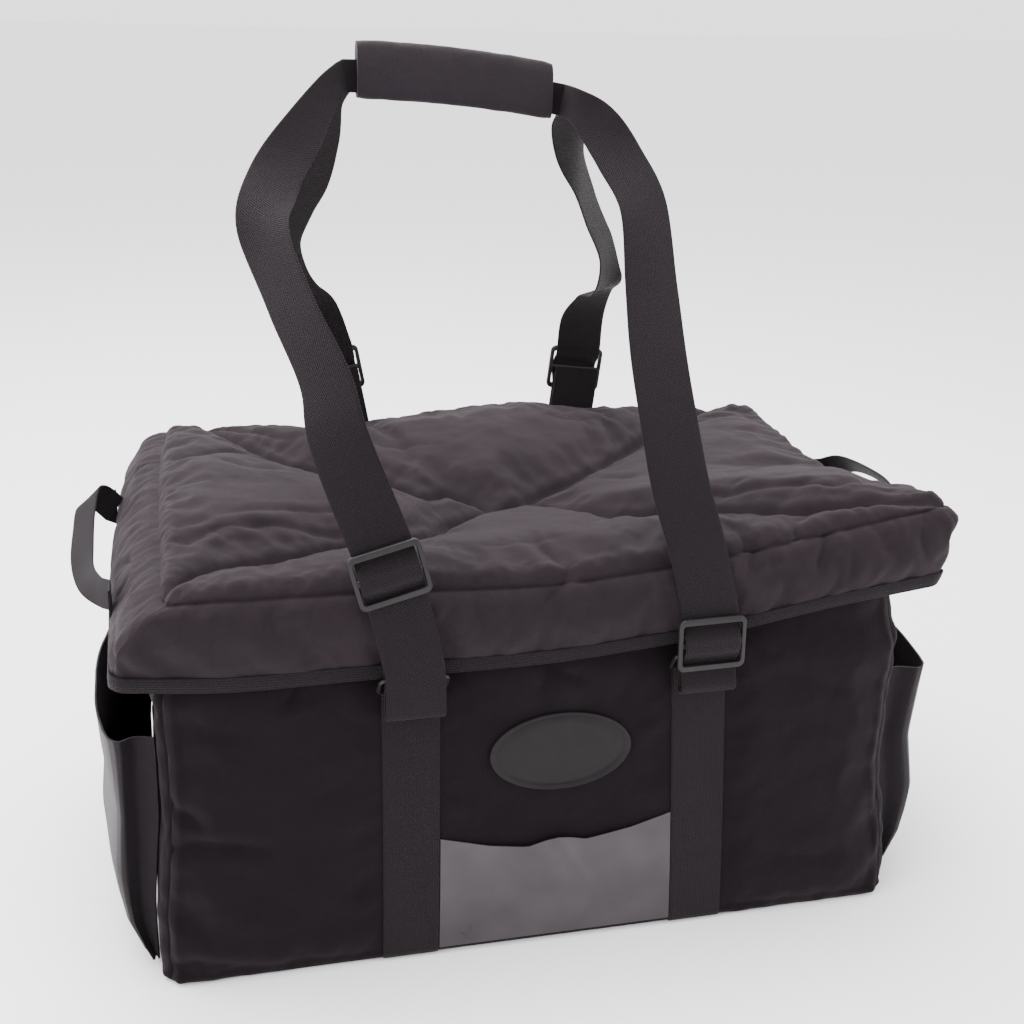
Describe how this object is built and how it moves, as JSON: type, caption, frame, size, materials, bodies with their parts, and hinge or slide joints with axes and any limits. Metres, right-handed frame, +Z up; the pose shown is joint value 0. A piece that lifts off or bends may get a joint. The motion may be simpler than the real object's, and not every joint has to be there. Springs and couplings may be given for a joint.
{
  "type": "insulated catering bag",
  "caption": "Padded nylon food carrier with a flap lid, webbing carrying straps joined by a padded handle wrap, side pockets, a clear front pocket and a blank oval patch.",
  "frame": {"origin": "middle of the flat base, on the surface the bag stands on", "axes": "+X along the bag's length to the viewer's right, +Y from the front to the back, +Z up"},
  "size_m": [0.7364, 0.455, 0.7161],
  "materials": {
    "bag_nylon": "matte woven nylon over padding",
    "lid_nylon": "matte woven nylon over padding",
    "binding_tape": "ribbed woven tape",
    "wrap_nylon": "matte woven nylon over padding",
    "patch_rubber": "satin moulded rubber",
    "clear_vinyl": "glossy clear vinyl",
    "webbing": "ribbed woven webbing",
    "pocket_nylon": "matte woven nylon",
    "hardware_plastic": "matte moulded plastic"
  },
  "bodies": {
    "root": {"body": "bag_nylon", "handle_wrap": "wrap_nylon", "lid": "lid_nylon", "lid_binding": "binding_tape", "patch": "patch_rubber", "ring_back_left": "hardware_plastic", "ring_back_right": "hardware_plastic", "ring_front_left": "hardware_plastic", "ring_front_right": "hardware_plastic", "side_handle_left": "webbing", "side_handle_right": "webbing", "side_pocket_left": "pocket_nylon", "side_pocket_right": "pocket_nylon", "strap_back": "webbing", "strap_front": "webbing", "tri_glide_back_left": "hardware_plastic", "tri_glide_back_right": "hardware_plastic", "tri_glide_front_left": "hardware_plastic", "tri_glide_front_right": "hardware_plastic", "webbing_left": "webbing", "webbing_right": "webbing", "window_pocket": "clear_vinyl"}
  },
  "joints": []
}
